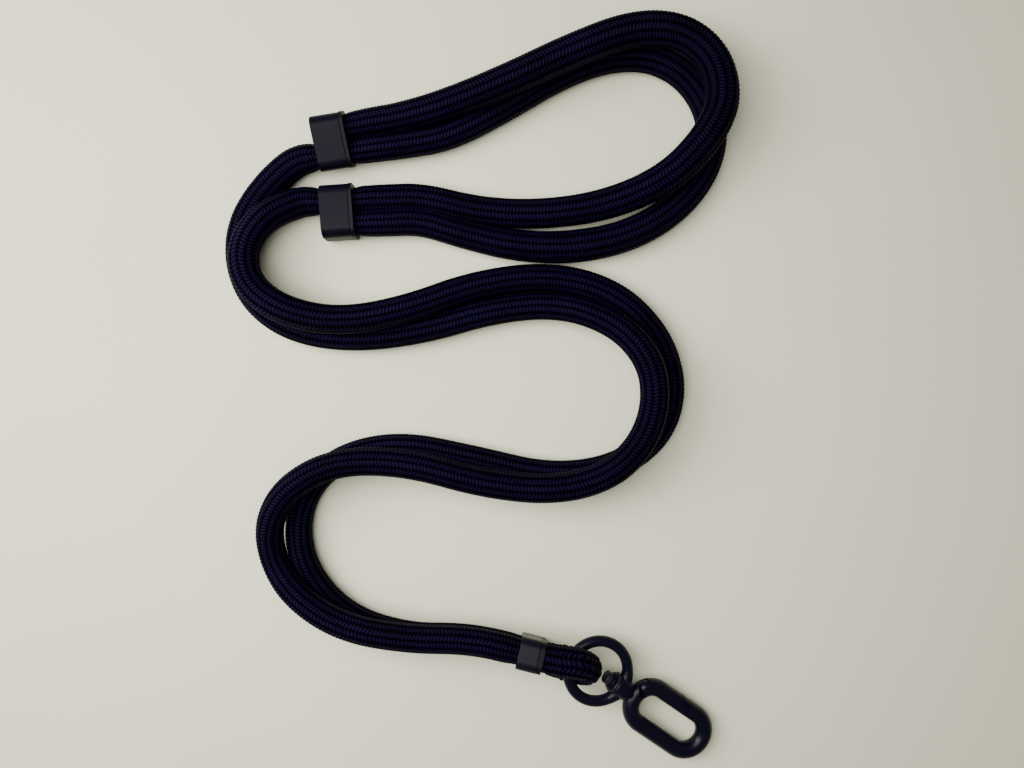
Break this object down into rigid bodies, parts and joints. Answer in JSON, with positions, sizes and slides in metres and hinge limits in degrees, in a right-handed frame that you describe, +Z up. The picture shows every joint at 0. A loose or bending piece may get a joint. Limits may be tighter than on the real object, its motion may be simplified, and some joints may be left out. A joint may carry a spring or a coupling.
{
  "type": "lanyard",
  "caption": "Adjustable rope lanyard: a doubled braided rope loop with sliding collars, a crimp ferrule, and a swivel ring carrying an oval gate hook.",
  "frame": {"origin": "On the surface the lanyard lies on, under the middle of the box round its metal fittings.", "axes": "+Z up from the surface; +Y from the hook's end towards the sliders; +X to the right, seen from above."},
  "size_m": [0.1614, 0.2336, 0.0205],
  "materials": {
    "rope": "dark navy braided polyester, slight sheen",
    "slider_metal": "satin dark navy-grey coating",
    "liner": "dark matte plastic",
    "ferrule_metal": "satin dark navy-grey coating",
    "hook_metal": "glossy near-black navy lacquer",
    "rivet_metal": "blackened, partly bright steel",
    "spring_steel": "plain spring steel wire"
  },
  "bodies": {
    "rope": {"rope_overlap_upper": "rope", "rope_overlap_lower": "rope", "rope_leg_upper": "rope", "rope_leg_lower": "rope", "rope_bight": "rope", "rope_pass_upper": "rope", "rope_end_upper": "rope", "rope_pass_lower": "rope", "rope_end_lower": "rope", "rope_crimp_upper": "rope", "rope_crimp_lower": "rope", "crimp_ferrule": "ferrule_metal", "ferrule_liner": "liner"},
    "slider_upper": {"slider_shell_upper": "slider_metal", "slider_liner_upper": "liner"},
    "slider_lower": {"slider_shell_lower": "slider_metal", "slider_liner_lower": "liner"},
    "ring": {"swivel_ring": "hook_metal"},
    "hook": {"hook_body": "hook_metal", "swivel_rivet": "rivet_metal", "swivel_collar": "hook_metal", "swivel_washer": "rivet_metal", "gate_pin": "hook_metal", "gate_spring": "spring_steel"},
    "gate": {"hook_gate": "hook_metal"}
  },
  "joints": [
    {"name": "slider_upper_slide", "type": "slide", "parent": "rope", "child": "slider_upper", "axis": [0.9877, 0.1564, 0], "range_m": [0, 0.008], "deforming": ["rope_end_upper"]},
    {"name": "slider_lower_slide", "type": "slide", "parent": "rope", "child": "slider_lower", "axis": [0.9976, 0.0698, 0], "range_m": [0, 0.01], "deforming": ["rope_end_lower"]},
    {"name": "ring_swing", "type": "hinge", "parent": "rope", "child": "ring", "pos_m": [0.0173, -0.0704, 0.0106], "axis": [0.2756, 0.9613, 0], "range_deg": [-90, 90]},
    {"name": "hook_swivel", "type": "hinge", "parent": "ring", "child": "hook", "pos_m": [0.02636, -0.073, 0.00907], "axis": [0.7954, -0.5873, -0.15], "continuous": true},
    {"name": "gate_hinge", "type": "hinge", "parent": "hook", "child": "gate", "pos_m": [0.04168, -0.07928, 0.00641], "axis": [-0.1537, 0.0441, -0.9871], "range_deg": [0, 27], "stiffness_Nm_per_rad": 0.02, "springref_deg": -20.05, "deforming": ["gate_spring"]}
  ]
}
